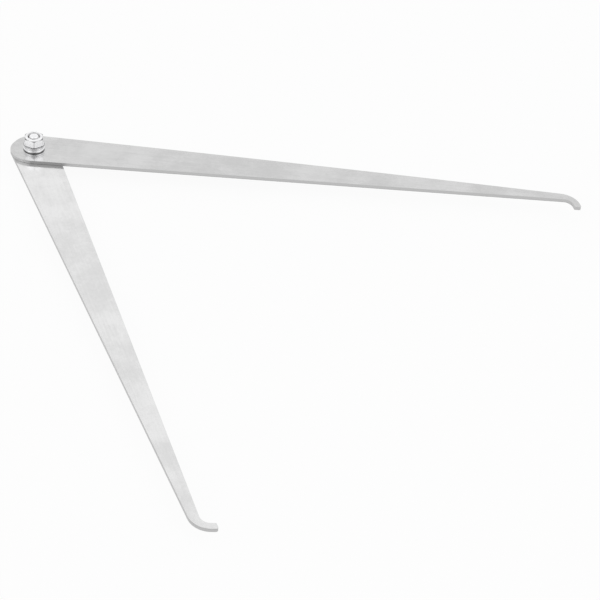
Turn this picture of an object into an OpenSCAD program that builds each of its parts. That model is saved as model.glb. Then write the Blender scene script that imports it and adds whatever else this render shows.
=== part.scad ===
// Firm-joint inside caliper: two tapered flat legs with curved feet, stacked face to face
// and clamped by a bolt, washers and a nut so that they turn stiffly about one pivot.
// The outer face of the bolt's head lies on the XY plane, the pivot is the Z axis,
// and the X axis halves the angle between the open legs.

/* [Legs] */
// Thickness of each leg's plate
leg_thick = 2; // [1.2:0.1:3]
// Width of a leg round the pivot
head_w = 25; // [18:0.5:32]
// How far the head swells out of its round, behind the pivot
head_swell = 0.7; // [0:0.1:1.2]
// Direction of the swell, from the leg's centre line
swell_turn = 153; // [140:1:180]
// Width of a leg where its foot begins to bend
root_w = 5.2; // [4.4:0.1:7]
// Distance from the pivot to the toe's outer corner, along the leg
leg_reach = 308.6; // [160:0.2:420]
// How much fuller than straight the upper leg's back edge is at mid-length
upper_belly = 0.9; // [0:0.1:2]
// How much fuller than straight the lower leg's back edge is at mid-length
lower_belly = 0; // [0:0.1:2]

/* [Feet] */
// Height of the toe above the leg's centre line
toe_rise = 8.8; // [7.5:0.1:12]
// Width of the toe's end, measured along the leg
toe_w = 3.9; // [3:0.1:5]
// Direction of the foot's outer side at the toe, from the leg's centre line
outer_angle = 75; // [66:1:84]
// Direction of the foot's inner side at the toe, from the leg's centre line
inner_angle = 75; // [66:1:84]
// Radius of the bend on the foot's outer side
outer_bend_r = 11.5; // [8:0.1:12]
// Radius of the bend on the foot's inner side
inner_bend_r = 5.5; // [3:0.1:6]
// Radius of the toe's outer corner
toe_outer_r = 1; // [0.2:0.1:1.4]
// Radius of the toe's inner corner
toe_inner_r = 0.3; // [0.2:0.1:1.2]

/* [Pivot] */
// Angle between the two legs
opening = 67; // [20:1:120]
// Diameter of the bolt's shank
bolt_d = 6; // [5:0.1:6.4]
// Length of the bolt below its head
bolt_len = 14; // [13:0.1:18]
// Height of the bolt's head
head_h = 4; // [3:0.1:5]
// Width across the flats of the bolt's head
head_af = 10; // [9:0.1:12]
// Height of the nut
nut_h = 5; // [4:0.1:6]
// Width across the flats of the nut
nut_af = 10; // [9:0.1:12]
// Angle from the X axis to the nut's nearest corner
nut_turn = 13; // [0:1:59]
// Outer diameter of the flat washers
washer_d = 12; // [11:0.1:14]
// Thickness of the flat washers
washer_h = 1.6; // [1:0.1:2]
// Outer diameter of the spring washer
spring_d = 11.8; // [10.6:0.1:13]
// Thickness of the spring washer
spring_h = 1.6; // [1.2:0.1:2]
// Width of the slit in the spring washer
slit_w = 0.8; // [0.4:0.1:1.6]
// Slant of the slit from the pivot's direction
slit_slant = 30; // [0:5:45]
// Angle from the X axis to the slit
slit_turn = 150; // [0:5:355]
// Angle of the chamfer on the corners of the head and the nut
corner_chamfer = 30; // [20:1:35]

/* [Fits] */
// Radial clearance between the shank and the legs that turn on it
pivot_clear = 0.06; // [0.02:0.01:0.1]
// Radial clearance between the shank and the flat washers
washer_clear = 0.2; // [0.05:0.05:0.4]
// Radial clearance between the shank and the spring washer
spring_clear = 0.1; // [0.05:0.05:0.4]
// Radial clearance between the shank and the nut's crests
nut_clear = 0.04; // [0.02:0.01:0.1]

/* [Hidden] */
round_fn = 96;
cut_slack = 1;
// Lets an arc cross the sides that it joins, instead of only touching them
crossing = 0.004;

// Heights of the stack, from the outer face of the bolt's head
head_washer_z = head_h;
lower_leg_z = head_washer_z + washer_h;
upper_leg_z = lower_leg_z + leg_thick;
flat_washer_z = upper_leg_z + leg_thick;
spring_washer_z = flat_washer_z + washer_h;
nut_z = spring_washer_z + spring_h;

// Small forms of the fasteners
end_chamfer = 0.14 * bolt_d;
flat_share = 0.95;
mouth_chamfer = 0.09 * bolt_d;
shank_r = bolt_d / 2;

// A leg lies along +X with its foot turned to +Y. Both edges run off from the head's round.
head_r = head_w / 2;
edge_r = head_r - crossing;
swell_drop = 1.2;
swell_r = head_r - swell_drop;
root_x = leg_reach - outer_bend_r;
edge_slope = asin(edge_r / norm([root_x, root_w / 2])) - atan(root_w / 2 / root_x);
front_start = edge_r * [sin(edge_slope), cos(edge_slope)];
back_start = edge_r * [sin(edge_slope), -cos(edge_slope)];
outer_toe = [leg_reach, toe_rise];
inner_toe = [leg_reach - toe_w, toe_rise];
belly_steps = 12;
bend_overlap = 0.8;

function direction(a) = [cos(a), sin(a)];
function cross2(a, b) = a.x * b.y - a.y * b.x;

// The point where the line through p in direction a meets the line through q in direction b
function meet(p, a, q, b) =
    p + direction(a) * cross2(q - p, direction(b)) / cross2(direction(a), direction(b));

// The middle of the smaller round that makes the head's swell
swell_middle = direction(swell_turn) * (head_swell + swell_drop);

// The corners that the straight edges would make if the foot had no bends
outer_corner = meet(back_start, edge_slope, outer_toe, outer_angle);
inner_corner = meet(front_start, -edge_slope, inner_toe, inner_angle);

// The back edge swells by a parabola between the head and the foot
belly_end = outer_corner - direction(edge_slope) * outer_bend_r;
function back_point(t, belly) =
    back_start + (belly_end - back_start) * t - [0, 4 * belly * t * (1 - t)];

// The leg without its round head, its foot mitred instead of bent
module mitred_blank(belly) {
    swollen = [for (i = [belly_steps:-1:0]) back_point(i / belly_steps, belly)];
    back = belly > 0 ? swollen : [back_start];
    polygon(concat([front_start, inner_corner, inner_toe, outer_toe, outer_corner], back));
}

// What lies between a bend of radius r and the corner whose sides run in directions a and b,
// carried a little past both sides
module bend_corner(corner, a, b, r) {
    out = direction((a + b) / 2 + 180);
    to_middle = r / sin((b - a) / 2);
    middle = corner - out * to_middle;
    difference() {
        polygon([middle, middle + direction(a - 90) * (r + bend_overlap),
                 middle + out * (to_middle + 2 * bend_overlap),
                 middle + direction(b + 90) * (r + bend_overlap)]);
        translate(middle) circle(r = r + crossing, $fn = round_fn);
    }
}

module leg(belly) {
    through_h = leg_thick + 2 * cut_slack;
    difference() {
        union() {
            cylinder(r = head_r, h = leg_thick, $fn = round_fn);
            if (head_swell > 0)
                translate(swell_middle) cylinder(r = swell_r, h = leg_thick, $fn = round_fn);
            linear_extrude(leg_thick) mitred_blank(belly);
            linear_extrude(leg_thick)
                bend_corner(inner_corner, inner_angle, 180 - edge_slope, inner_bend_r);
        }
        translate([0, 0, -cut_slack]) {
            linear_extrude(through_h) {
                bend_corner(outer_corner, outer_angle, 180 + edge_slope, outer_bend_r);
                bend_corner(outer_toe, 180, 180 + outer_angle, toe_outer_r);
                bend_corner(inner_toe, inner_angle - 180, 0, toe_inner_r);
            }
            cylinder(r = shank_r + pivot_clear, h = through_h, $fn = round_fn);
        }
    }
}

module lower_leg() {
    color("gainsboro")
        translate([0, 0, lower_leg_z]) rotate([0, 0, -opening / 2]) leg(lower_belly);
}

module upper_leg() {
    color("lightgray")
        translate([0, 0, upper_leg_z]) rotate([0, 0, opening / 2]) mirror([0, 1, 0]) leg(upper_belly);
}

// A hexagon of width af whose corners are turned down to a cone at one end or at both
module hexagon(af, h, both_ends) {
    corner_r = af / 2 / cos(30);
    flat_r = af / 2 * flat_share;
    drop = (corner_r + cut_slack - flat_r) * tan(corner_chamfer);
    intersection() {
        cylinder(r = corner_r, h = h, $fn = 6);
        rotate_extrude($fn = round_fn)
            polygon([[0, 0], [flat_r, 0], [corner_r + cut_slack, drop],
                     [corner_r + cut_slack, both_ends ? h - drop : h],
                     [both_ends ? flat_r : corner_r + cut_slack, h], [0, h]]);
    }
}

module pivot_bolt() {
    top = head_h + bolt_len;
    color("silver") {
        hexagon(head_af, head_h, false);
        rotate_extrude($fn = round_fn)
            polygon([[0, head_h / 2], [shank_r, head_h / 2], [shank_r, top - end_chamfer],
                     [shank_r - end_chamfer, top], [0, top]]);
    }
}

module ring(outer_r, inner_r, h) {
    difference() {
        cylinder(r = outer_r, h = h, $fn = round_fn);
        translate([0, 0, -cut_slack]) cylinder(r = inner_r, h = h + 2 * cut_slack, $fn = round_fn);
    }
}

module washer() {
    ring(washer_d / 2, shank_r + washer_clear, washer_h);
}

module head_washer() {
    color("silver") translate([0, 0, head_washer_z]) washer();
}

module flat_washer() {
    color("silver") translate([0, 0, flat_washer_z]) washer();
}

module spring_washer() {
    slit_len = spring_d;
    slit_reach = spring_h * 4;
    color("silver")
        translate([0, 0, spring_washer_z])
            difference() {
                ring(spring_d / 2, shank_r + spring_clear, spring_h);
                translate([0, 0, spring_h / 2])
                    rotate([0, 0, slit_turn])
                        rotate([slit_slant, 0, 0])
                            translate([0, -slit_w / 2, -slit_reach / 2]) cube([slit_len, slit_w, slit_reach]);
            }
}

module hex_nut() {
    mouth_r = shank_r + nut_clear + mouth_chamfer;
    bore_r = shank_r + nut_clear;
    color("silver")
        translate([0, 0, nut_z])
            difference() {
                rotate([0, 0, nut_turn]) hexagon(nut_af, nut_h, true);
                rotate_extrude($fn = round_fn)
                    polygon([[0, -cut_slack], [mouth_r + cut_slack, -cut_slack], [bore_r, mouth_chamfer],
                             [bore_r, nut_h - mouth_chamfer], [mouth_r + cut_slack, nut_h + cut_slack],
                             [0, nut_h + cut_slack]]);
            }
}

pivot_bolt();
head_washer();
lower_leg();
upper_leg();
flat_washer();
spring_washer();
hex_nut();
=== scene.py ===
"""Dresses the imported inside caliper: polished steel legs, bright zinc fasteners, a pale studio."""

import math

import bmesh
import bpy
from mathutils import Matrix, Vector


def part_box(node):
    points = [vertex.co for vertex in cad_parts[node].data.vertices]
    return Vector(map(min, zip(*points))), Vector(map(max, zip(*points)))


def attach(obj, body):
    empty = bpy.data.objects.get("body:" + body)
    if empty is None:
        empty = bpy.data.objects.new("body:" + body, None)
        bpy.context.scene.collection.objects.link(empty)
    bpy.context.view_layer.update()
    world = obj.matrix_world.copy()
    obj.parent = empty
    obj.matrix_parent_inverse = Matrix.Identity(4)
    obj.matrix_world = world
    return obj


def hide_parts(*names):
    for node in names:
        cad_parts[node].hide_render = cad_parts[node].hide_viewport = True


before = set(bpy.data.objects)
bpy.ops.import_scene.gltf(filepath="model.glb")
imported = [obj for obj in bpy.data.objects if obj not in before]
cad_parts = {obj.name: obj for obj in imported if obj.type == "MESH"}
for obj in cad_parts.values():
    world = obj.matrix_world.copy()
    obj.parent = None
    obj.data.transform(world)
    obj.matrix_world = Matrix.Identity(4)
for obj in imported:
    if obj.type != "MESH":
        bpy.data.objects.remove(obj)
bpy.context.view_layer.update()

bl_info = {
    "name": "Inside caliper",
    "version": (1, 0, 0),
    "blender": (4, 5, 0),
    "location": "3D View > Sidebar > Caliper",
    "description": "Builds the legs, the fasteners and the studio of an inside caliper",
    "category": "Object",
}

MM = 0.001
UP = Vector((0, 0, 1))
LOWER_SIDE = "lower_side"
UPPER_SIDE = "upper_side"
SENSOR_WIDTH_MM = 36

# Tolerances of the mesh work
MERGE_DISTANCE = 0.001 * MM
LEVEL_TOLERANCE = 0.01 * MM
CUT_TOLERANCE = 1e-8

# How far a cutting tool reaches past what it cuts
CUTTER_MARGIN = 1 * MM
BORE_TOOL_DEPTH = 20 * MM
SLIT_TOOL_HEIGHTS = 8

# Angles, in degrees, over which an edge stays sharp under smooth shading
LEG_SHARP = 36
FASTENER_SHARP = 32

# The rolled thread over one pitch: share of the pitch, and whether the point is on the crest
THREAD_OUTLINE = (
    (0, False), (0.08, False), (0.44, True), (0.56, True), (0.92, False), (1, False),
)
SPARE_TURNS = 2

# From and to how level a face is: 0 is a wall, 1 is a flat face
SAWN_WALL = (0.75, 0.35)
ARRIS_NEXT_TO_WALL = (0.25, 0.6)
ARRIS_NEXT_TO_FACE = (0.985, 0.8)
OFF_LEG_FACE = (0.99, 0.9)
OFF_ZINC_FACE = (0.98, 0.9)
ZINC_FACE = (0.9, 0.99)
STEEPER_THAN_CHAMFER = (0.70, 0.84)
FLATTER_THAN_CHAMFER = (0.995, 0.95)

# Patches of a finish, and the painted highlight on the legs' arrises, as factors of its tone
DARK_STEEL = 0.90
LIGHT_STEEL = 1.04
HIGHLIT_STEEL = 1.10
DARK_ZINC = 0.93
LIGHT_ZINC = 1.03
DARK_FLOOR = 0.99
ARRIS_HIGHLIGHT = 0.6

# Share of its reach over which the painted shade in seams and in the nut's mouth is at its darkest
THICK_LEG_SHADE = 0.4
THICK_ZINC_SHADE = 0.75

# Where the pressed faces' darker tone, the painted shade in the nut's mouth and the painted dark
# reflection on the nut's corners begin and end
SHANK_FADE = 1.06
MOUTH_SHADE_FADE = 0.2 * MM
CORNER_SPREAD = (0.474, 0.51)
CORNER_DEPTH = (1.7 * MM, 1.3 * MM)

# Relief of the surfaces
GRAIN_STRETCH = (0.035, 1, 1)
GRAIN_DEPTH = 0.012 * MM
PIT_DEPTH = 0.01 * MM
WHITE = (1, 1, 1, 1)


def length(name, description, default, low=0.0, high=1.0):
    return bpy.props.FloatProperty(
        name=name, description=description, default=default,
        min=low, max=high, precision=5, unit="LENGTH", subtype="DISTANCE",
    )


def turn(name, description, degrees):
    return bpy.props.FloatProperty(
        name=name, description=description, default=math.radians(degrees),
        unit="ROTATION", subtype="ANGLE",
    )


def share(name, description, default):
    return bpy.props.FloatProperty(
        name=name, description=description, default=default, min=0.0, max=1.0, subtype="FACTOR",
    )


def tone(name, description, default):
    return bpy.props.FloatVectorProperty(
        name=name, description=description, default=default,
        min=0.0, max=1.0, size=3, subtype="COLOR",
    )


def count(name, description, default, low, high):
    return bpy.props.IntProperty(
        name=name, description=description, default=default, min=low, max=high,
    )


# Settings that a user would change


class LegSettings(bpy.types.PropertyGroup):
    """Sizes and steel of the two legs."""

    opening: turn("Opening", "Angle between the two legs", 67)
    head_width: length("Head width", "Width of a leg round the pivot", 25 * MM)
    swell: length("Head swell", "How far the head swells out of its round", 0.7 * MM)
    swell_drop: length("Swell drop", "How much smaller the swell's round is", 1.2 * MM)
    swell_turn: turn("Swell turn", "Direction of the swell, from the leg's centre line", 153)
    root_width: length("Root width", "Width of a leg where its foot begins to bend", 5.2 * MM)
    reach: length("Reach", "From the pivot to the toe's outer corner, along the leg", 308.6 * MM)
    upper_belly: length("Upper belly", "How much the upper leg's back edge swells", 0.9 * MM)
    toe_rise: length("Toe rise", "Height of the toe above the leg's centre line", 8.8 * MM)
    toe_width: length("Toe width", "Width of the toe's end", 3.9 * MM)
    toe_outer: length("Toe's outer corner", "Radius of the toe's outer corner", 1.0 * MM)
    toe_inner: length("Toe's inner corner", "Radius of the toe's inner corner", 0.3 * MM)
    outer_angle: turn("Outer angle", "Direction of the foot's outer side at the toe", 75)
    inner_angle: turn("Inner angle", "Direction of the foot's inner side at the toe", 75)
    outer_bend: length("Outer bend", "Radius of the bend on the foot's outer side", 11.5 * MM)
    inner_bend: length("Inner bend", "Radius of the bend on the foot's inner side", 5.5 * MM)
    edge_break: length("Edge break", "Width that the file took off each sharp edge", 0.14 * MM)
    head_steps: count("Head steps", "Facets round the head", 144, 24, 360)
    bend_steps: count("Bend steps", "Facets of each bend in the foot", 20, 4, 64)
    belly_steps: count("Belly steps", "Straight runs of a swelling back edge", 12, 2, 64)
    # The two legs are one steel: the upper face's darker tone is painted shade and the lower face's
    # lighter tone is painted light, for how each leg's grain catches the light
    upper_steel_shaded: tone("Upper steel", "Tone of the upper leg's face", (0.65, 0.65, 0.65))
    lower_steel_lit: tone("Lower steel", "Tone of the lower leg's face", (0.78, 0.78, 0.78))
    # The sawn edges are rougher than the faces; their darker tone is painted shade
    sawn_steel_shaded: tone("Sawn steel", "Tone of both legs' sawn edges", (0.53, 0.53, 0.53))
    # Painted shade along the seam where the legs lie on each other
    seam_shade_tone: share("Grime", "How dark the edges are where oil sits between the legs", 0.5)
    seam_shade_height: length("Grime height", "How far oil creeps out between the legs", 0.22 * MM)
    face_gloss: share("Face roughness", "Roughness of the polished faces", 0.13)
    wall_gloss: share("Wall roughness", "Roughness of the sawn edges", 0.34)


class FastenerSettings(bpy.types.PropertyGroup):
    """Sizes and plating of the bolt, the nut and the washers."""

    bolt_width: length("Bolt width", "Diameter of the bolt's shank", 6 * MM)
    end_chamfer: length("End chamfer", "Chamfer of the bolt's end", 0.84 * MM)
    rod_root: length("Rod root", "How far the threaded rod reaches into the head", 0.5 * MM)
    pitch: length("Pitch", "Rise of the thread in one turn", 1 * MM)
    thread_depth: length("Thread depth", "Depth of the thread's groove", 0.61 * MM)
    flats: length("Flats", "Width across the flats of the head and the nut", 10 * MM)
    nut_turn: turn("Nut turn", "Angle from the X axis to the nut's nearest corner", 13)
    corner_chamfer: turn("Corner chamfer", "Slope of the turned corners", 30)
    mouth_chamfer: length("Mouth chamfer", "Chamfer of the nut's two mouths", 0.54 * MM)
    leg_clear: length("Leg clearance", "Gap between shank and legs", 0.06 * MM)
    washer_clear: length("Washer clearance", "Gap between shank and flat washers", 0.2 * MM)
    spring_clear: length("Spring clearance", "Gap between shank and spring washer", 0.1 * MM)
    nut_clear: length("Nut clearance", "Gap between shank and nut", 0.04 * MM)
    edge_round: length("Edge rounding", "Rounding of the plated edges", 0.12 * MM)
    washer_round: length("Washer rounding", "Rounding of the stamped washers' edges", 0.40 * MM)
    spring_round: length("Spring rounding", "Rounding of the spring washer's edges", 0.50 * MM)
    slit: length("Slit", "Width of the slit in the spring washer", 0.8 * MM)
    slit_round: length("Slit rounding", "Rounding of the slit's edges", 0.06 * MM)
    slit_slant: turn("Slit slant", "Slant of the slit from the pivot's direction", 30)
    slit_turn: turn("Slit turn", "Angle from the X axis to the slit", 150)
    steps: count("Steps", "Facets round each fastener", 96, 24, 256)
    zinc: tone("Zinc", "Tone of the bright plating", (0.93, 0.93, 0.94))
    zinc_gloss: share("Zinc roughness", "Roughness of the plating", 0.18)
    top_gloss: share("Top roughness", "Roughness of the pressed top faces", 0.34)
    top_tone: share("Top tone", "How dark the pressed top faces are", 0.93)
    low_flat: share("Low flat", "Share of a hexagon's width that its lower face takes up", 0.95)
    nut_flat: share("Nut's flat", "Share of the nut's width that its upper face takes up", 0.84)
    # Painted shade where the fasteners meet the legs and each other
    seam_shade_tone: share("Grime", "How dark the plating is where oil sits in a seam", 0.25)
    seam_shade_reach: length("Seam grime", "How far the oil creeps up from the legs", 0.75 * MM)
    nut_shade_reach: length("Nut grime", "How far the oil creeps out from under the nut", 0.32 * MM)
    # Painted shade in the nut's countersunk mouth, round the bolt's end
    mouth_shade_tone: share("Mouth tone", "How dark the countersink round the bolt's end is", 0.5)
    mouth_shade_depth: length("Mouth depth", "How far down the nut the dull ring reaches", 0.7 * MM)
    mouth_shade_width: length("Mouth grime", "Half the width of the nut's dull ring", 0.62 * MM)
    # Painted dark reflection on the nut's turned corners
    corner_dark_reflection: share("Chamfer tone", "How dark the nut's turned corners are", 0.26)
    corner_round: length("Corner rounding", "Rounding of upright corners", 0.4 * MM)


class StageSettings(bpy.types.PropertyGroup):
    """Camera, floor and light."""

    camera_place: bpy.props.FloatVectorProperty(
        name="Camera place", description="Where the camera stands",
        default=(0.626582, -0.671422, 0.647835), size=3, precision=6, subtype="TRANSLATION",
    )
    camera_turn: bpy.props.FloatVectorProperty(
        name="Camera turn", description="How the camera is turned",
        default=(math.radians(51.00921), math.radians(-4.21448), math.radians(36.59652)),
        size=3, subtype="EULER",
    )
    focal_length: bpy.props.FloatProperty(
        name="Focal length", description="Focal length of the lens, in millimetres",
        default=118.037, min=20, max=400, unit="CAMERA",
    )
    floor_tone: tone("Floor", "Tone of the floor", (0.97, 0.97, 0.97))
    floor_glow: share("Floor glow", "How much of the floor is seen as plain white", 0.92)
    floor_width: length("Floor width", "Side of the floor", 6.0, 0.5, 20.0)
    floor_gap: length("Floor gap", "How far the floor lies under the bolt's head", 0.02 * MM)
    sky_tone: share("Sky", "How much light the white studio gives", 0.80)
    gap_tone: share("Gap tone", "Brightness of the gap that the camera looks through", 0.48)
    gap_inner: turn("Gap middle", "From the camera to where the gap's dark middle ends", 13)
    gap_outer: turn("Gap edge", "From the camera to where the white studio begins", 28)
    lamp_power: bpy.props.FloatProperty(
        name="Lamp power", description="Power of each soft lamp", default=0.7,
        min=0, max=100, unit="POWER",
    )
    lamp_side: length("Lamp side", "Side of each square soft lamp", 0.75, 0.05, 5.0)
    lamp_aim: length("Lamp aim", "How far along the X axis from the pivot the lamps point", 0.12)
    lamp_distance: length("Lamp distance", "From where a lamp points to the lamp", 1.3, 0.2, 5.0)
    lamp_spread: turn("Lamp spread", "Angle from the camera to each lamp, round the pivot", 62)
    lamp_rise: turn("Lamp rise", "Angle of each lamp above the floor", 38)


# Shader sums


class Wire:
    """A socket on which a sum can be written as a Python expression."""

    def __init__(self, tree, socket):
        self.tree = tree
        self.socket = socket

    def sum(self, operation, *values):
        return self.tree.add("ShaderNodeMath", {"operation": operation}, *values)

    def __add__(self, other):
        return self.sum("ADD", self, other)

    def __sub__(self, other):
        return self.sum("SUBTRACT", self, other)

    def __rsub__(self, other):
        return self.sum("SUBTRACT", other, self)

    def __mul__(self, other):
        return self.sum("MULTIPLY", self, other)

    def __pow__(self, other):
        return self.sum("POWER", self, other)

    def __abs__(self):
        return self.sum("ABSOLUTE", self)

    __radd__ = __add__
    __rmul__ = __mul__

    def ramp(self, low, high, start=0.0, end=1.0):
        """Goes smoothly from start to end as the value goes from low to high."""
        settings = {"interpolation_type": "SMOOTHSTEP"}
        return self.tree.add("ShaderNodeMapRange", settings, self, low, high, start, end)


class Tree:
    """A node tree, to which any node is added by one call."""

    def __init__(self, nodes):
        self.tree = nodes
        nodes.nodes.clear()

    def add(self, kind, settings=None, *values, out=0, **named):
        """Adds a node, sets it up, fills its inputs in order or by name, and gives an output."""
        node = self.tree.nodes.new(kind)
        for key, value in (settings or {}).items():
            setattr(node, key, value)
        filled = list(enumerate(values))
        filled += [(key.replace("_", " "), value) for key, value in named.items()]
        for key, value in filled:
            if isinstance(value, Wire):
                self.tree.links.new(value.socket, node.inputs[key])
            elif value is not None:
                node.inputs[key].default_value = value
        return Wire(self, node.outputs[out]) if node.outputs else node

    def blend(self, factor, first, second):
        """Mixes two colours."""
        node = self.add("ShaderNodeMix", {"data_type": "RGBA"}).socket.node
        sockets = {s.identifier: s for s in node.inputs}
        for key, value in (("Factor_Float", factor), ("A_Color", first), ("B_Color", second)):
            if isinstance(value, Wire):
                self.tree.links.new(value.socket, sockets[key])
            else:
                sockets[key].default_value = value
        return Wire(self, {s.identifier: s for s in node.outputs}["Result_Color"])


def tinted(colour, factor=1.0):
    """A colour made lighter or darker by a factor, with its alpha."""
    return tuple(min(1, channel * factor) for channel in colour) + (1,)


def new_material(name):
    material = bpy.data.materials.new(name)
    material.use_nodes = True
    return material, Tree(material.node_tree)


def noise(tree, place, scale, detail, roughness):
    return tree.add(
        "ShaderNodeTexNoise", None, place, Scale=scale, Detail=detail, Roughness=roughness
    )


def level_faces(tree):
    """How level a face is: 1 where it is flat, and 0 on a wall."""
    side = tree.add("ShaderNodeTexCoord", out="Normal")
    return abs(tree.add("ShaderNodeSeparateXYZ", None, side, out="Z"))


def finish_metal(tree, colour, rough, strength, depth, relief):
    """Joins a metal's colour, roughness and relief in its shader."""
    bump = tree.add("ShaderNodeBump", None, Strength=strength, Distance=depth, Height=relief)
    shader = tree.add(
        "ShaderNodeBsdfPrincipled", None,
        Base_Color=colour, Metallic=1.0, Roughness=rough, Normal=bump,
    )
    tree.add("ShaderNodeOutputMaterial", None, shader)


def leg_steel(name, colour, look, along, seam):
    """Polished sheet steel, its grain in direction along, with sawn walls whose darker tone is
    painted shade, a painted highlight on the arrises and painted shade along the seam between the
    legs.
    """
    material, tree = new_material(name)
    place = tree.add("ShaderNodeTexCoord", out="Object")
    height = tree.add("ShaderNodeSeparateXYZ", None, place, out="Z")
    level = level_faces(tree)
    lengthwise = tree.add("ShaderNodeMapping", None, place, Rotation=(0, 0, -along))
    stretched = tree.add(
        "ShaderNodeVectorMath", {"operation": "MULTIPLY"}, lengthwise, GRAIN_STRETCH
    )
    clouds = noise(tree, lengthwise, scale=55, detail=3, roughness=0.55)
    spots = noise(tree, lengthwise, scale=420, detail=5, roughness=0.65)
    marks = noise(tree, stretched, scale=900, detail=4, roughness=0.6)
    fine = noise(tree, stretched, scale=5200, detail=2, roughness=0.6)

    mottle = clouds * 0.55 + spots * 0.25 + marks * 0.2
    dark, light = tinted(colour, DARK_STEEL), tinted(colour, LIGHT_STEEL)
    face = tree.blend(mottle.ramp(0.36, 0.64), dark, light)
    # Sawn walls: the rougher finish is real, the darker tone is painted shade
    wall = level.ramp(*SAWN_WALL)
    face = tree.blend(wall * (0.8 + marks * 0.4), face, tinted(look.sawn_steel_shaded))
    # Painted highlight along the legs' broken edges
    arris_highlight = level.ramp(*ARRIS_NEXT_TO_WALL) * level.ramp(*ARRIS_NEXT_TO_FACE)
    face = tree.blend(arris_highlight * ARRIS_HIGHLIGHT, face, tinted(colour, HIGHLIT_STEEL))
    # Painted shade along the seam between the legs, its edge wobbled by the spots
    seam_distance = abs(height - seam) - (spots - 0.5) * look.seam_shade_height
    seam_shade = seam_distance.ramp(look.seam_shade_height, THICK_LEG_SHADE * look.seam_shade_height)
    seam_shade = seam_shade * level.ramp(*OFF_LEG_FACE)
    face = tree.blend(seam_shade, face, tinted(look.sawn_steel_shaded, look.seam_shade_tone))

    rough = look.face_gloss + clouds * 0.06 + marks * 0.05 + spots.ramp(0.55, 0.8) * 0.08
    rough = rough + wall * (look.wall_gloss - look.face_gloss)
    relief = marks * 0.6 + fine * 0.4
    finish_metal(tree, face, rough, strength=0.30, depth=GRAIN_DEPTH, relief=relief)
    return material


def bright_zinc(look, seams, nut_top):
    """Bright zinc plating with turning marks and haze, painted shade along its seams and in the
    nut's mouth, and a painted dark reflection on the nut's upper corners.
    """
    material, tree = new_material("bright_zinc")
    place = tree.add("ShaderNodeTexCoord", out="Object")
    x, y, height = (tree.add("ShaderNodeSeparateXYZ", None, place, out=axis) for axis in "XYZ")
    radius = (x * x + y * y) ** 0.5
    level = level_faces(tree)
    rings = tree.add("ShaderNodeCombineXYZ", None, radius, 0.0, 0.0)
    turning = noise(tree, rings, scale=9000, detail=2, roughness=0.5)
    haze = noise(tree, place, scale=650, detail=4, roughness=0.6)
    pits = noise(tree, place, scale=4200, detail=3, roughness=0.6)

    dark, light = tinted(look.zinc, DARK_ZINC), tinted(look.zinc, LIGHT_ZINC)
    colour = tree.blend(haze.ramp(0.35, 0.65), dark, light)
    pressed = level.ramp(*ZINC_FACE)
    shank = look.bolt_width / 2
    round_shank = radius.ramp(shank, shank * SHANK_FADE)
    colour = tree.blend(pressed * round_shank, colour, tinted(look.zinc, look.top_tone))

    # Painted shade along the contacts with the legs, at the bolt's head and under the nut
    seam_shade_colour = tinted(look.zinc, look.seam_shade_tone)
    for seam, reach in seams:
        seam_distance = abs(height - seam) + (haze - 0.5) * 0.3 * reach
        seam_shade = seam_distance.ramp(reach, THICK_ZINC_SHADE * reach) * level.ramp(*OFF_ZINC_FACE)
        colour = tree.blend(seam_shade, colour, seam_shade_colour)

    # Painted shade in the nut's mouth, round the bolt's end
    mouth_shade = abs(radius - shank).ramp(look.mouth_shade_width, THICK_ZINC_SHADE * look.mouth_shade_width)
    mouth_low = nut_top - look.mouth_shade_depth
    mouth_shade = mouth_shade * height.ramp(mouth_low, mouth_low + MOUTH_SHADE_FADE)
    colour = tree.blend(mouth_shade, colour, tinted(look.zinc, look.mouth_shade_tone))

    # Painted dark reflection on the nut's turned upper corners
    corner = level.ramp(*STEEPER_THAN_CHAMFER) * level.ramp(*FLATTER_THAN_CHAMFER)
    corner = corner * radius.ramp(*(share_out * look.flats for share_out in CORNER_SPREAD))
    corner = corner * height.ramp(*(nut_top - below for below in CORNER_DEPTH))
    colour = tree.blend(corner, colour, tinted(look.zinc, look.corner_dark_reflection))

    rough = look.zinc_gloss + haze.ramp(0.4, 0.75) * 0.10 + pits * 0.04
    rough = rough + pressed * (look.top_gloss - look.zinc_gloss)
    relief = turning * pressed * 0.6 + pits * 0.4
    finish_metal(tree, colour, rough, strength=0.25, depth=PIT_DEPTH, relief=relief)
    return material


# Modelling helpers


def deselect():
    if bpy.context.mode != "OBJECT":
        bpy.ops.object.mode_set(mode="OBJECT")
    bpy.ops.object.select_all(action="DESELECT")


def pick(piece):
    deselect()
    piece.select_set(True)
    bpy.context.view_layer.objects.active = piece


def edit(piece):
    pick(piece)
    bpy.ops.object.mode_set(mode="EDIT")


def leave():
    bpy.ops.object.mode_set(mode="OBJECT")


def named(name):
    piece = bpy.context.object
    piece.name = name
    piece.data.name = name
    return piece


def start_point(name, at):
    """Adds a mesh of one vertex, and stays in edit mode with that vertex selected."""
    deselect()
    bpy.ops.mesh.primitive_plane_add(size=MM)
    piece = named(name)
    bpy.ops.object.mode_set(mode="EDIT")
    bpy.ops.mesh.select_all(action="SELECT")
    bpy.ops.mesh.merge(type="CENTER")
    bpy.ops.transform.translate(value=at)
    return piece


def draw_line(step):
    bpy.ops.mesh.extrude_region_move(TRANSFORM_OT_translate={"value": step})


def draw_arc(centre, angle, steps):
    """Sweeps the selected end of the line round centre. A positive angle turns anticlockwise."""
    bpy.ops.mesh.spin(steps=steps, angle=-angle, center=centre, axis=UP)


def draw_path(path):
    """Draws a line from its first point, where the selected vertex is, through the others."""
    for here, there in zip(path, path[1:]):
        draw_line(there - here)


def merge_points():
    bpy.ops.mesh.select_all(action="SELECT")
    bpy.ops.mesh.remove_doubles(threshold=MERGE_DISTANCE)


def face_outwards():
    bpy.ops.mesh.select_all(action="SELECT")
    bpy.ops.mesh.normals_make_consistent(inside=False)


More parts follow.
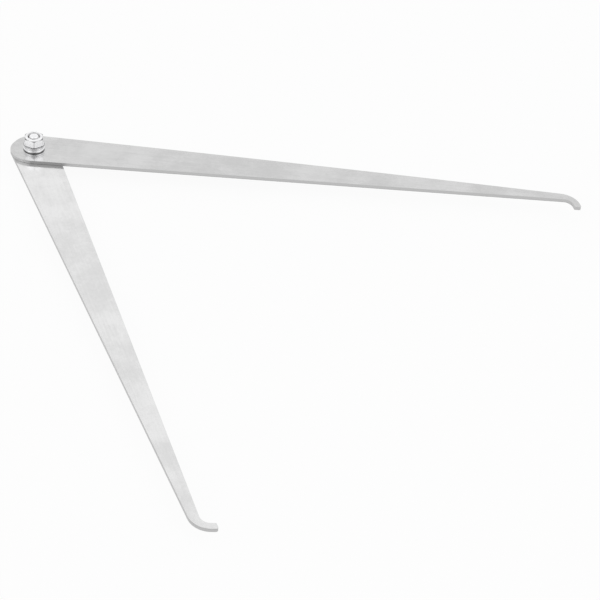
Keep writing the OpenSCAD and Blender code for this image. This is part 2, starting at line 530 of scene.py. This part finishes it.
def apply_modifier(piece, kind, **settings):
    modifier = piece.modifiers.new(kind.title(), kind)
    for key, value in settings.items():
        setattr(modifier, key, value)
    pick(piece)
    bpy.ops.object.modifier_apply(modifier=modifier.name)


def carve(piece, tool, operation):
    """Unites two solids, cuts the second from the first, or keeps what they share."""
    apply_modifier(piece, "BOOLEAN", operation=operation, solver="EXACT", object=tool)
    bpy.data.objects.remove(tool)


def round_edges(piece, width, segments, sharper_than=20):
    """Rounds the edges that are sharper than an angle in degrees."""
    apply_modifier(
        piece, "BEVEL", width=width, segments=segments, limit_method="ANGLE",
        angle_limit=math.radians(sharper_than), use_clamp_overlap=True,
    )


def smooth(piece, angle):
    """Smooths across small angles, and keeps broad faces flat beside their narrow edges."""
    pick(piece)
    bpy.ops.object.shade_smooth_by_angle(angle=math.radians(angle))
    apply_modifier(piece, "WEIGHTED_NORMAL", mode="FACE_AREA", weight=100, keep_sharp=True)


def turned(name, points, steps, rounding=0.0):
    """Turns a profile of radius and height round the pivot. A rounded profile is a closed one."""
    path = [Vector((radius, 0, height)) for radius, height in points]
    piece = start_point(name, path[0])
    draw_path(path + path[:1] if rounding else path)
    merge_points()
    if rounding:
        bpy.ops.mesh.edge_face_add()
        bpy.ops.mesh.bevel(affect="VERTICES", offset=rounding, segments=4)
        bpy.ops.mesh.select_all(action="SELECT")
        bpy.ops.mesh.delete(type="ONLY_FACE")
    bpy.ops.mesh.select_all(action="SELECT")
    bpy.ops.mesh.spin(steps=steps, angle=math.tau, center=(0, 0, 0), axis=UP)
    merge_points()
    face_outwards()
    leave()
    return piece


def finish_piece(piece, body, material, node):
    """Gives a finished mesh its material and body, and lets it stand for its CAD node."""
    pick(piece)
    bpy.ops.object.transform_apply(location=True, rotation=True, scale=True)
    piece.data.materials.clear()
    piece.data.materials.append(material)
    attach(piece, body)
    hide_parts(node)


# Legs


def direction(angle):
    return Vector((math.cos(angle), math.sin(angle), 0))


def cross(first, second):
    return first.x * second.y - first.y * second.x


def meeting(point, angle, other, other_angle):
    """Where the line through point at angle crosses the line through other at other_angle."""
    along, across = direction(angle), direction(other_angle)
    return point + along * (cross(other - point, across) / cross(along, across))


def corner_arc(corner, incoming, outgoing, radius):
    """Start, centre and turn of the arc that rounds a corner between two directions."""
    swing = math.remainder(outgoing - incoming, math.tau)
    setback = radius * math.tan(abs(swing) / 2)
    start = corner - direction(incoming) * setback
    centre = start + direction(incoming + math.copysign(math.pi / 2, swing)) * radius
    return start, centre, swing


def draw_head(sizes, start, end):
    """Draws the head's round from the front edge to the back edge, by way of its swell."""
    head = sizes.head_width / 2
    round_off = head - sizes.swell_drop
    offset = sizes.swell + sizes.swell_drop
    half = math.acos((head**2 + offset**2 - round_off**2) / (2 * head * offset))
    half_swell = math.atan2(head * math.sin(half), head * math.cos(half) - offset)
    third = sizes.head_steps // 3
    draw_arc((0, 0, 0), sizes.swell_turn - half - start, third // 2)
    draw_arc(direction(sizes.swell_turn) * offset, 2 * half_swell, third)
    draw_arc((0, 0, 0), end - sizes.swell_turn - half, third)


def draw_leg(name, sizes, belly):
    """Draws a leg's outline along +X with its foot turned to +Y, and fills it."""
    head = sizes.head_width / 2
    root_x = sizes.reach - sizes.outer_bend
    half_root = sizes.root_width / 2
    slope = math.asin(head / math.hypot(root_x, half_root)) - math.atan(half_root / root_x)
    front = Vector((head * math.sin(slope), head * math.cos(slope), 0))
    back = Vector((front.x, -front.y, 0))
    outer_toe = Vector((sizes.reach, sizes.toe_rise, 0))
    inner_toe = outer_toe - Vector((sizes.toe_width, 0, 0))
    outer_corner = meeting(back, slope, outer_toe, sizes.outer_angle)
    inner_corner = meeting(front, -slope, inner_toe, sizes.inner_angle)
    belly_end = outer_corner - direction(slope) * sizes.outer_bend

    def back_edge(share_along):
        """A point of the back edge, which swells by a parabola between the head and the foot."""
        swell = 4 * belly * share_along * (1 - share_along)
        return back.lerp(belly_end, share_along) - Vector((0, swell, 0))

    corners = [
        (outer_corner, slope, sizes.outer_angle, sizes.outer_bend),
        (outer_toe, sizes.outer_angle, math.pi, sizes.toe_outer),
        (inner_toe, math.pi, sizes.inner_angle - math.pi, sizes.toe_inner),
        (inner_corner, sizes.inner_angle - math.pi, math.pi - slope, sizes.inner_bend),
    ]
    arcs = [corner_arc(*corner) for corner in corners]
    leg = start_point(name, front)
    draw_head(sizes, math.pi / 2 - slope, 3 * math.pi / 2 + slope)
    here = back
    if belly:
        runs = [back_edge(step / sizes.belly_steps) for step in range(1, sizes.belly_steps + 1)]
        draw_path([back] + runs)
        here = runs[-1]
    for (start, centre, swing), (corner, _, leaving, radius) in zip(arcs, corners):
        draw_line(start - here)
        draw_arc(centre, swing, sizes.bend_steps)
        here = corner + direction(leaving) * radius * math.tan(abs(swing) / 2)
    draw_line(front - here)
    merge_points()
    bpy.ops.mesh.edge_face_add()
    return leg


def build_leg(name, node, belly, turned_by, mirrored, material, body):
    """Thickens a leg, bores it, breaks its edges and lays it where its CAD node lies."""
    sizes = bpy.context.scene.caliper_legs
    bolt = bpy.context.scene.caliper_fasteners
    low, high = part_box(node)
    leg = draw_leg(name, sizes, belly)
    bpy.ops.mesh.extrude_region_move(TRANSFORM_OT_translate={"value": (0, 0, high.z - low.z)})
    face_outwards()
    rim = bmesh.from_edit_mesh(leg.data)
    for edge in rim.edges:
        edge.select_set(abs(edge.verts[0].co.z - edge.verts[1].co.z) < LEVEL_TOLERANCE)
    bpy.ops.mesh.bevel(affect="EDGES", offset=sizes.edge_break, segments=3)
    leave()
    deselect()
    bore = bolt.bolt_width / 2 + bolt.leg_clear
    bpy.ops.mesh.primitive_cylinder_add(vertices=bolt.steps, radius=bore, depth=BORE_TOOL_DEPTH)
    carve(leg, named("bore"), "DIFFERENCE")
    leg.scale.y = -1 if mirrored else 1
    leg.rotation_euler.z = turned_by
    leg.location.z = low.z
    pick(leg)
    bpy.ops.object.transform_apply(location=True, rotation=True, scale=True)
    edit(leg)
    face_outwards()
    leave()
    smooth(leg, LEG_SHARP)
    finish_piece(leg, body, material, node)


class CALIPER_OT_legs(bpy.types.Operator):
    """Draws both legs with their curved feet and broken edges"""

    bl_idname = "caliper.legs"
    bl_label = "Legs"

    def execute(self, context):
        look = context.scene.caliper_legs
        half = look.opening / 2
        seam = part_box("upper_leg")[0].z
        # One steel in two tones: painted shade on the upper leg, painted light on the lower leg
        lower = leg_steel("lower_leg_steel_lit", look.lower_steel_lit, look, -half, seam)
        upper = leg_steel("upper_leg_steel_shaded", look.upper_steel_shaded, look, half, seam)
        build_leg("lower_leg_plate", "lower_leg", 0.0, -half, False, lower, LOWER_SIDE)
        build_leg("upper_leg_plate", "upper_leg", look.upper_belly, half, True, upper, UPPER_SIDE)
        return {"FINISHED"}


# Fasteners


def zinc_material():
    """The plating of all the fasteners, made for the first of them."""
    found = bpy.data.materials.get("bright_zinc")
    if found:
        return found
    look = bpy.context.scene.caliper_fasteners
    nut_low, nut_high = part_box("hex_nut")
    # Heights of the contacts at which the plating gets painted shade, and how far it reaches
    seams = [
        (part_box("lower_leg")[0].z, look.seam_shade_reach),
        (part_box("upper_leg")[1].z, look.seam_shade_reach),
        (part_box("head_washer")[0].z, look.nut_shade_reach),
        (nut_low.z, look.nut_shade_reach),
    ]
    return bright_zinc(look, seams, nut_high.z)


def finish_fastener(piece, node):
    smooth(piece, FASTENER_SHARP)
    finish_piece(piece, LOWER_SIDE, zinc_material(), node)


def hexagon(name, sizes, low, high, turned_by, top_flat=None):
    """A hexagon whose corners are turned down to a cone at its low end, or at both ends."""
    flats = sizes.flats / 2
    half_side = math.radians(30)
    corner = flats / math.cos(half_side)
    wide = corner + CUTTER_MARGIN
    slope = math.tan(sizes.corner_chamfer)
    low_flat = flats * sizes.low_flat
    envelope = [(0, low), (low_flat, low), (wide, low + (wide - low_flat) * slope)]
    if top_flat:
        high_flat = flats * top_flat
        envelope += [(wide, high - (wide - high_flat) * slope), (high_flat, high)]
    else:
        envelope += [(wide, high)]
    envelope += [(0, high)]
    deselect()
    bpy.ops.mesh.primitive_cylinder_add(
        vertices=6, radius=corner, depth=high - low,
        location=(0, 0, (low + high) / 2), rotation=(0, 0, turned_by + half_side),
    )
    piece = named(name)
    round_edges(piece, sizes.corner_round, segments=4)
    carve(piece, turned("corner_cone", envelope, sizes.steps), "INTERSECT")
    return piece


def washer_ring(name, sizes, node, clearance, rounding):
    """A ring with rounded edges that fills the box of its CAD node."""
    low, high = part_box(node)
    bore = sizes.bolt_width / 2 + clearance
    outer = max(high.x, high.y, -low.x, -low.y)
    outline = [(bore, low.z), (outer, low.z), (outer, high.z), (bore, high.z)]
    return turned(name, outline, sizes.steps, rounding)


def threaded_rod(sizes, low, high):
    """A rod with a rolled thread: one pitch of its outline screwed up the axis, cut off square."""
    crest = sizes.bolt_width / 2
    core = crest - sizes.thread_depth
    path = [
        Vector((crest if on_crest else core, 0, low + (rise - 1) * sizes.pitch))
        for rise, on_crest in THREAD_OUTLINE
    ]
    rod = start_point("threaded_rod", path[0])
    draw_path(path)
    leave()
    steps = sizes.steps // 2
    apply_modifier(
        rod, "SCREW", axis="Z", angle=math.tau, screw_offset=sizes.pitch,
        iterations=math.ceil((high - low) / sizes.pitch) + SPARE_TURNS,
        steps=steps, render_steps=steps, use_merge_vertices=False,
    )
    edit(rod)
    merge_points()
    for level, from_below in ((low, True), (high, False)):
        bpy.ops.mesh.select_all(action="SELECT")
        bpy.ops.mesh.bisect(
            plane_co=(0, 0, level), plane_no=UP, use_fill=True, threshold=CUT_TOLERANCE,
            clear_inner=from_below, clear_outer=not from_below,
        )
    face_outwards()
    leave()
    return rod


class CALIPER_OT_bolt(bpy.types.Operator):
    """Makes the hexagon bolt with its rolled thread and chamfered end"""

    bl_idname = "caliper.bolt"
    bl_label = "Bolt"

    def execute(self, context):
        sizes = context.scene.caliper_fasteners
        low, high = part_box("pivot_bolt")
        head_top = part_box("head_washer")[0].z
        bolt = hexagon("pivot_bolt_threaded", sizes, low.z, head_top, 0.0)
        round_edges(bolt, sizes.edge_round, segments=3)
        rod = threaded_rod(sizes, head_top - sizes.rod_root, high.z)
        tip = sizes.bolt_width / 2 - sizes.end_chamfer
        clear = sizes.bolt_width
        past_end = high.z + CUTTER_MARGIN
        end = [
            (0, low.z), (clear, low.z), (clear, high.z + tip - clear),
            (tip - CUTTER_MARGIN, past_end), (0, past_end),
        ]
        carve(rod, turned("end_cone", end, sizes.steps), "INTERSECT")
        pick(bolt)
        rod.select_set(True)
        bpy.ops.object.join()
        finish_fastener(bolt, "pivot_bolt")
        return {"FINISHED"}


class CALIPER_OT_washers(bpy.types.Operator):
    """Stamps the two flat washers with their rounded edges"""

    bl_idname = "caliper.washers"
    bl_label = "Flat washers"

    def execute(self, context):
        sizes = context.scene.caliper_fasteners
        for node in ("head_washer", "flat_washer"):
            washer = washer_ring(
                node + "_stamped", sizes, node, sizes.washer_clear, sizes.washer_round
            )
            finish_fastener(washer, node)
        return {"FINISHED"}


class CALIPER_OT_spring_washer(bpy.types.Operator):
    """Makes the split spring washer, pressed flat under the nut"""

    bl_idname = "caliper.spring_washer"
    bl_label = "Spring washer"

    def execute(self, context):
        sizes = context.scene.caliper_fasteners
        node = "spring_washer"
        low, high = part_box(node)
        washer = washer_ring(
            "spring_washer_split", sizes, node, sizes.spring_clear, sizes.spring_round
        )
        outer = max(high.x, high.y, -low.x, -low.y)
        deselect()
        bpy.ops.mesh.primitive_cube_add(size=1)
        cutter = named("slit")
        cutter.scale = (2 * outer, sizes.slit, SLIT_TOOL_HEIGHTS * (high.z - low.z))
        bpy.ops.object.transform_apply(scale=True)
        cutter.rotation_euler = (sizes.slit_slant, 0, 0)
        bpy.ops.object.transform_apply(rotation=True)
        cutter.rotation_euler = (0, 0, sizes.slit_turn)
        cutter.location = direction(sizes.slit_turn) * outer + UP * (low.z + high.z) / 2
        bpy.ops.object.transform_apply(location=True, rotation=True)
        carve(washer, cutter, "DIFFERENCE")
        round_edges(washer, sizes.slit_round, segments=2, sharper_than=50)
        finish_fastener(washer, node)
        return {"FINISHED"}


class CALIPER_OT_nut(bpy.types.Operator):
    """Makes the hexagon nut with turned corners and countersunk mouths"""

    bl_idname = "caliper.nut"
    bl_label = "Nut"

    def execute(self, context):
        sizes = context.scene.caliper_fasteners
        low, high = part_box("hex_nut")
        nut = hexagon("hex_nut_plated", sizes, low.z, high.z, sizes.nut_turn, sizes.nut_flat)
        bore = sizes.bolt_width / 2 + sizes.nut_clear
        sink = sizes.mouth_chamfer
        past_mouth = bore + sink + CUTTER_MARGIN
        bore_profile = [
            (0, low.z - CUTTER_MARGIN), (past_mouth, low.z - CUTTER_MARGIN),
            (bore, low.z + sink), (bore, high.z - sink),
            (past_mouth, high.z + CUTTER_MARGIN), (0, high.z + CUTTER_MARGIN),
        ]
        carve(nut, turned("nut_bore", bore_profile, sizes.steps), "DIFFERENCE")
        round_edges(nut, sizes.edge_round, segments=3)
        finish_fastener(nut, "hex_nut")
        return {"FINISHED"}


# Camera and studio


class CALIPER_OT_camera(bpy.types.Operator):
    """Sets the camera where the photograph was taken from"""

    bl_idname = "caliper.camera"
    bl_label = "Camera"

    def execute(self, context):
        stage = context.scene.caliper_stage
        bpy.ops.object.camera_add(location=stage.camera_place, rotation=stage.camera_turn)
        camera = bpy.context.object
        camera.name = "photo_camera"
        camera.data.lens = stage.focal_length
        camera.data.sensor_width = SENSOR_WIDTH_MM
        context.scene.camera = camera
        return {"FINISHED"}


def soft_lamp(name, stage, azimuth):
    """A square lamp that stands at an angle round the point of the tool at which it is aimed."""
    aim = Vector((stage.lamp_aim, 0, 0))
    rise = stage.lamp_rise
    towards = direction(azimuth) * math.cos(rise) + UP * math.sin(rise)
    bpy.ops.object.light_add(type="AREA", location=aim + towards * stage.lamp_distance)
    lamp = bpy.context.object
    lamp.name = name
    lamp.rotation_euler = towards.to_track_quat("Z", "Y").to_euler()
    lamp.data.shape = "SQUARE"
    lamp.data.size = stage.lamp_side
    lamp.data.energy = stage.lamp_power


def camera_and_mirror_rays(tree):
    """1 for what the camera sees, and 1 for what metal mirrors."""
    seen = tree.add("ShaderNodeLightPath", out="Is Camera Ray")
    return seen, tree.add("ShaderNodeLightPath", out="Is Glossy Ray")


def studio_world(stage, gap):
    """White past the floor and in the metal, with a dark gap where the camera stands."""
    world = bpy.data.worlds.new("studio")
    world.use_nodes = True
    bpy.context.scene.world = world
    tree = Tree(world.node_tree)
    towards = tree.add("ShaderNodeTexCoord", out="Generated")
    facing = tree.add(
        "ShaderNodeVectorMath", {"operation": "DOT_PRODUCT"}, towards, tuple(gap), out="Value"
    )
    seen, mirrored = camera_and_mirror_rays(tree)
    shaded = facing.ramp(math.cos(stage.gap_outer), math.cos(stage.gap_inner)) * (1 - seen)
    level = stage.sky_tone + (seen + mirrored) * (1 - stage.sky_tone)
    level = level * (1 - shaded * (1 - stage.gap_tone))
    background = tree.add("ShaderNodeBackground", None, Color=WHITE, Strength=level)
    tree.add("ShaderNodeOutputWorld", None, background)


def floor_material(stage):
    """A pale floor that is seen as plain white, with the tool's soft shadow on it."""
    material, tree = new_material("pale_floor")
    place = tree.add("ShaderNodeTexCoord", out="Object")
    grain = noise(tree, place, scale=30, detail=2, roughness=0.5)
    colour = tree.blend(grain, tinted(stage.floor_tone), tinted(stage.floor_tone, DARK_FLOOR))
    matt = tree.add("ShaderNodeBsdfDiffuse", None, Color=colour)
    glow = tree.add("ShaderNodeEmission", None, Color=WHITE, Strength=1.0)
    seen, mirrored = camera_and_mirror_rays(tree)
    mixed = tree.add("ShaderNodeMixShader", None, (seen + mirrored) * stage.floor_glow, matt, glow)
    tree.add("ShaderNodeOutputMaterial", None, mixed)
    return material


class CALIPER_OT_stage(bpy.types.Operator):
    """Lays the pale floor and sets up the soft light"""

    bl_idname = "caliper.stage"
    bl_label = "Studio"

    def execute(self, context):
        stage = context.scene.caliper_stage
        deselect()
        bpy.ops.mesh.primitive_plane_add(
            size=stage.floor_width, location=(0, 0, -stage.floor_gap)
        )
        floor = named("floor")
        floor.data.materials.append(floor_material(stage))
        away = Vector(stage.camera_place)
        azimuth = math.atan2(away.y, away.x)
        soft_lamp("left_lamp", stage, azimuth - stage.lamp_spread)
        soft_lamp("right_lamp", stage, azimuth + stage.lamp_spread)
        studio_world(stage, away.normalized())
        context.scene.view_settings.view_transform = "Standard"
        return {"FINISHED"}


# Sidebar


PIECE_OPERATORS = (
    CALIPER_OT_camera,
    CALIPER_OT_stage,
    CALIPER_OT_legs,
    CALIPER_OT_bolt,
    CALIPER_OT_washers,
    CALIPER_OT_spring_washer,
    CALIPER_OT_nut,
)


class CALIPER_PT_sidebar(bpy.types.Panel):
    """Lists the steps that build the caliper"""

    bl_idname = "CALIPER_PT_sidebar"
    bl_label = "Inside caliper"
    bl_space_type = "VIEW_3D"
    bl_region_type = "UI"
    bl_category = "Caliper"

    def draw(self, context):
        for step in PIECE_OPERATORS:
            self.layout.operator(step.bl_idname)
        for group in ("caliper_legs", "caliper_fasteners", "caliper_stage"):
            settings = getattr(context.scene, group)
            box = self.layout.box()
            for key in settings.__annotations__:
                box.prop(settings, key)


CLASSES = (LegSettings, FastenerSettings, StageSettings, *PIECE_OPERATORS, CALIPER_PT_sidebar)


def register():
    for item in CLASSES:
        bpy.utils.register_class(item)
    bpy.types.Scene.caliper_legs = bpy.props.PointerProperty(type=LegSettings)
    bpy.types.Scene.caliper_fasteners = bpy.props.PointerProperty(type=FastenerSettings)
    bpy.types.Scene.caliper_stage = bpy.props.PointerProperty(type=StageSettings)


def unregister():
    del bpy.types.Scene.caliper_stage
    del bpy.types.Scene.caliper_fasteners
    del bpy.types.Scene.caliper_legs
    for item in reversed(CLASSES):
        bpy.utils.unregister_class(item)


def main():
    register()
    bpy.ops.caliper.camera()
    bpy.ops.caliper.stage()
    bpy.ops.caliper.legs()
    bpy.ops.caliper.bolt()
    bpy.ops.caliper.washers()
    bpy.ops.caliper.spring_washer()
    bpy.ops.caliper.nut()


if __name__ == "__main__":
    main()
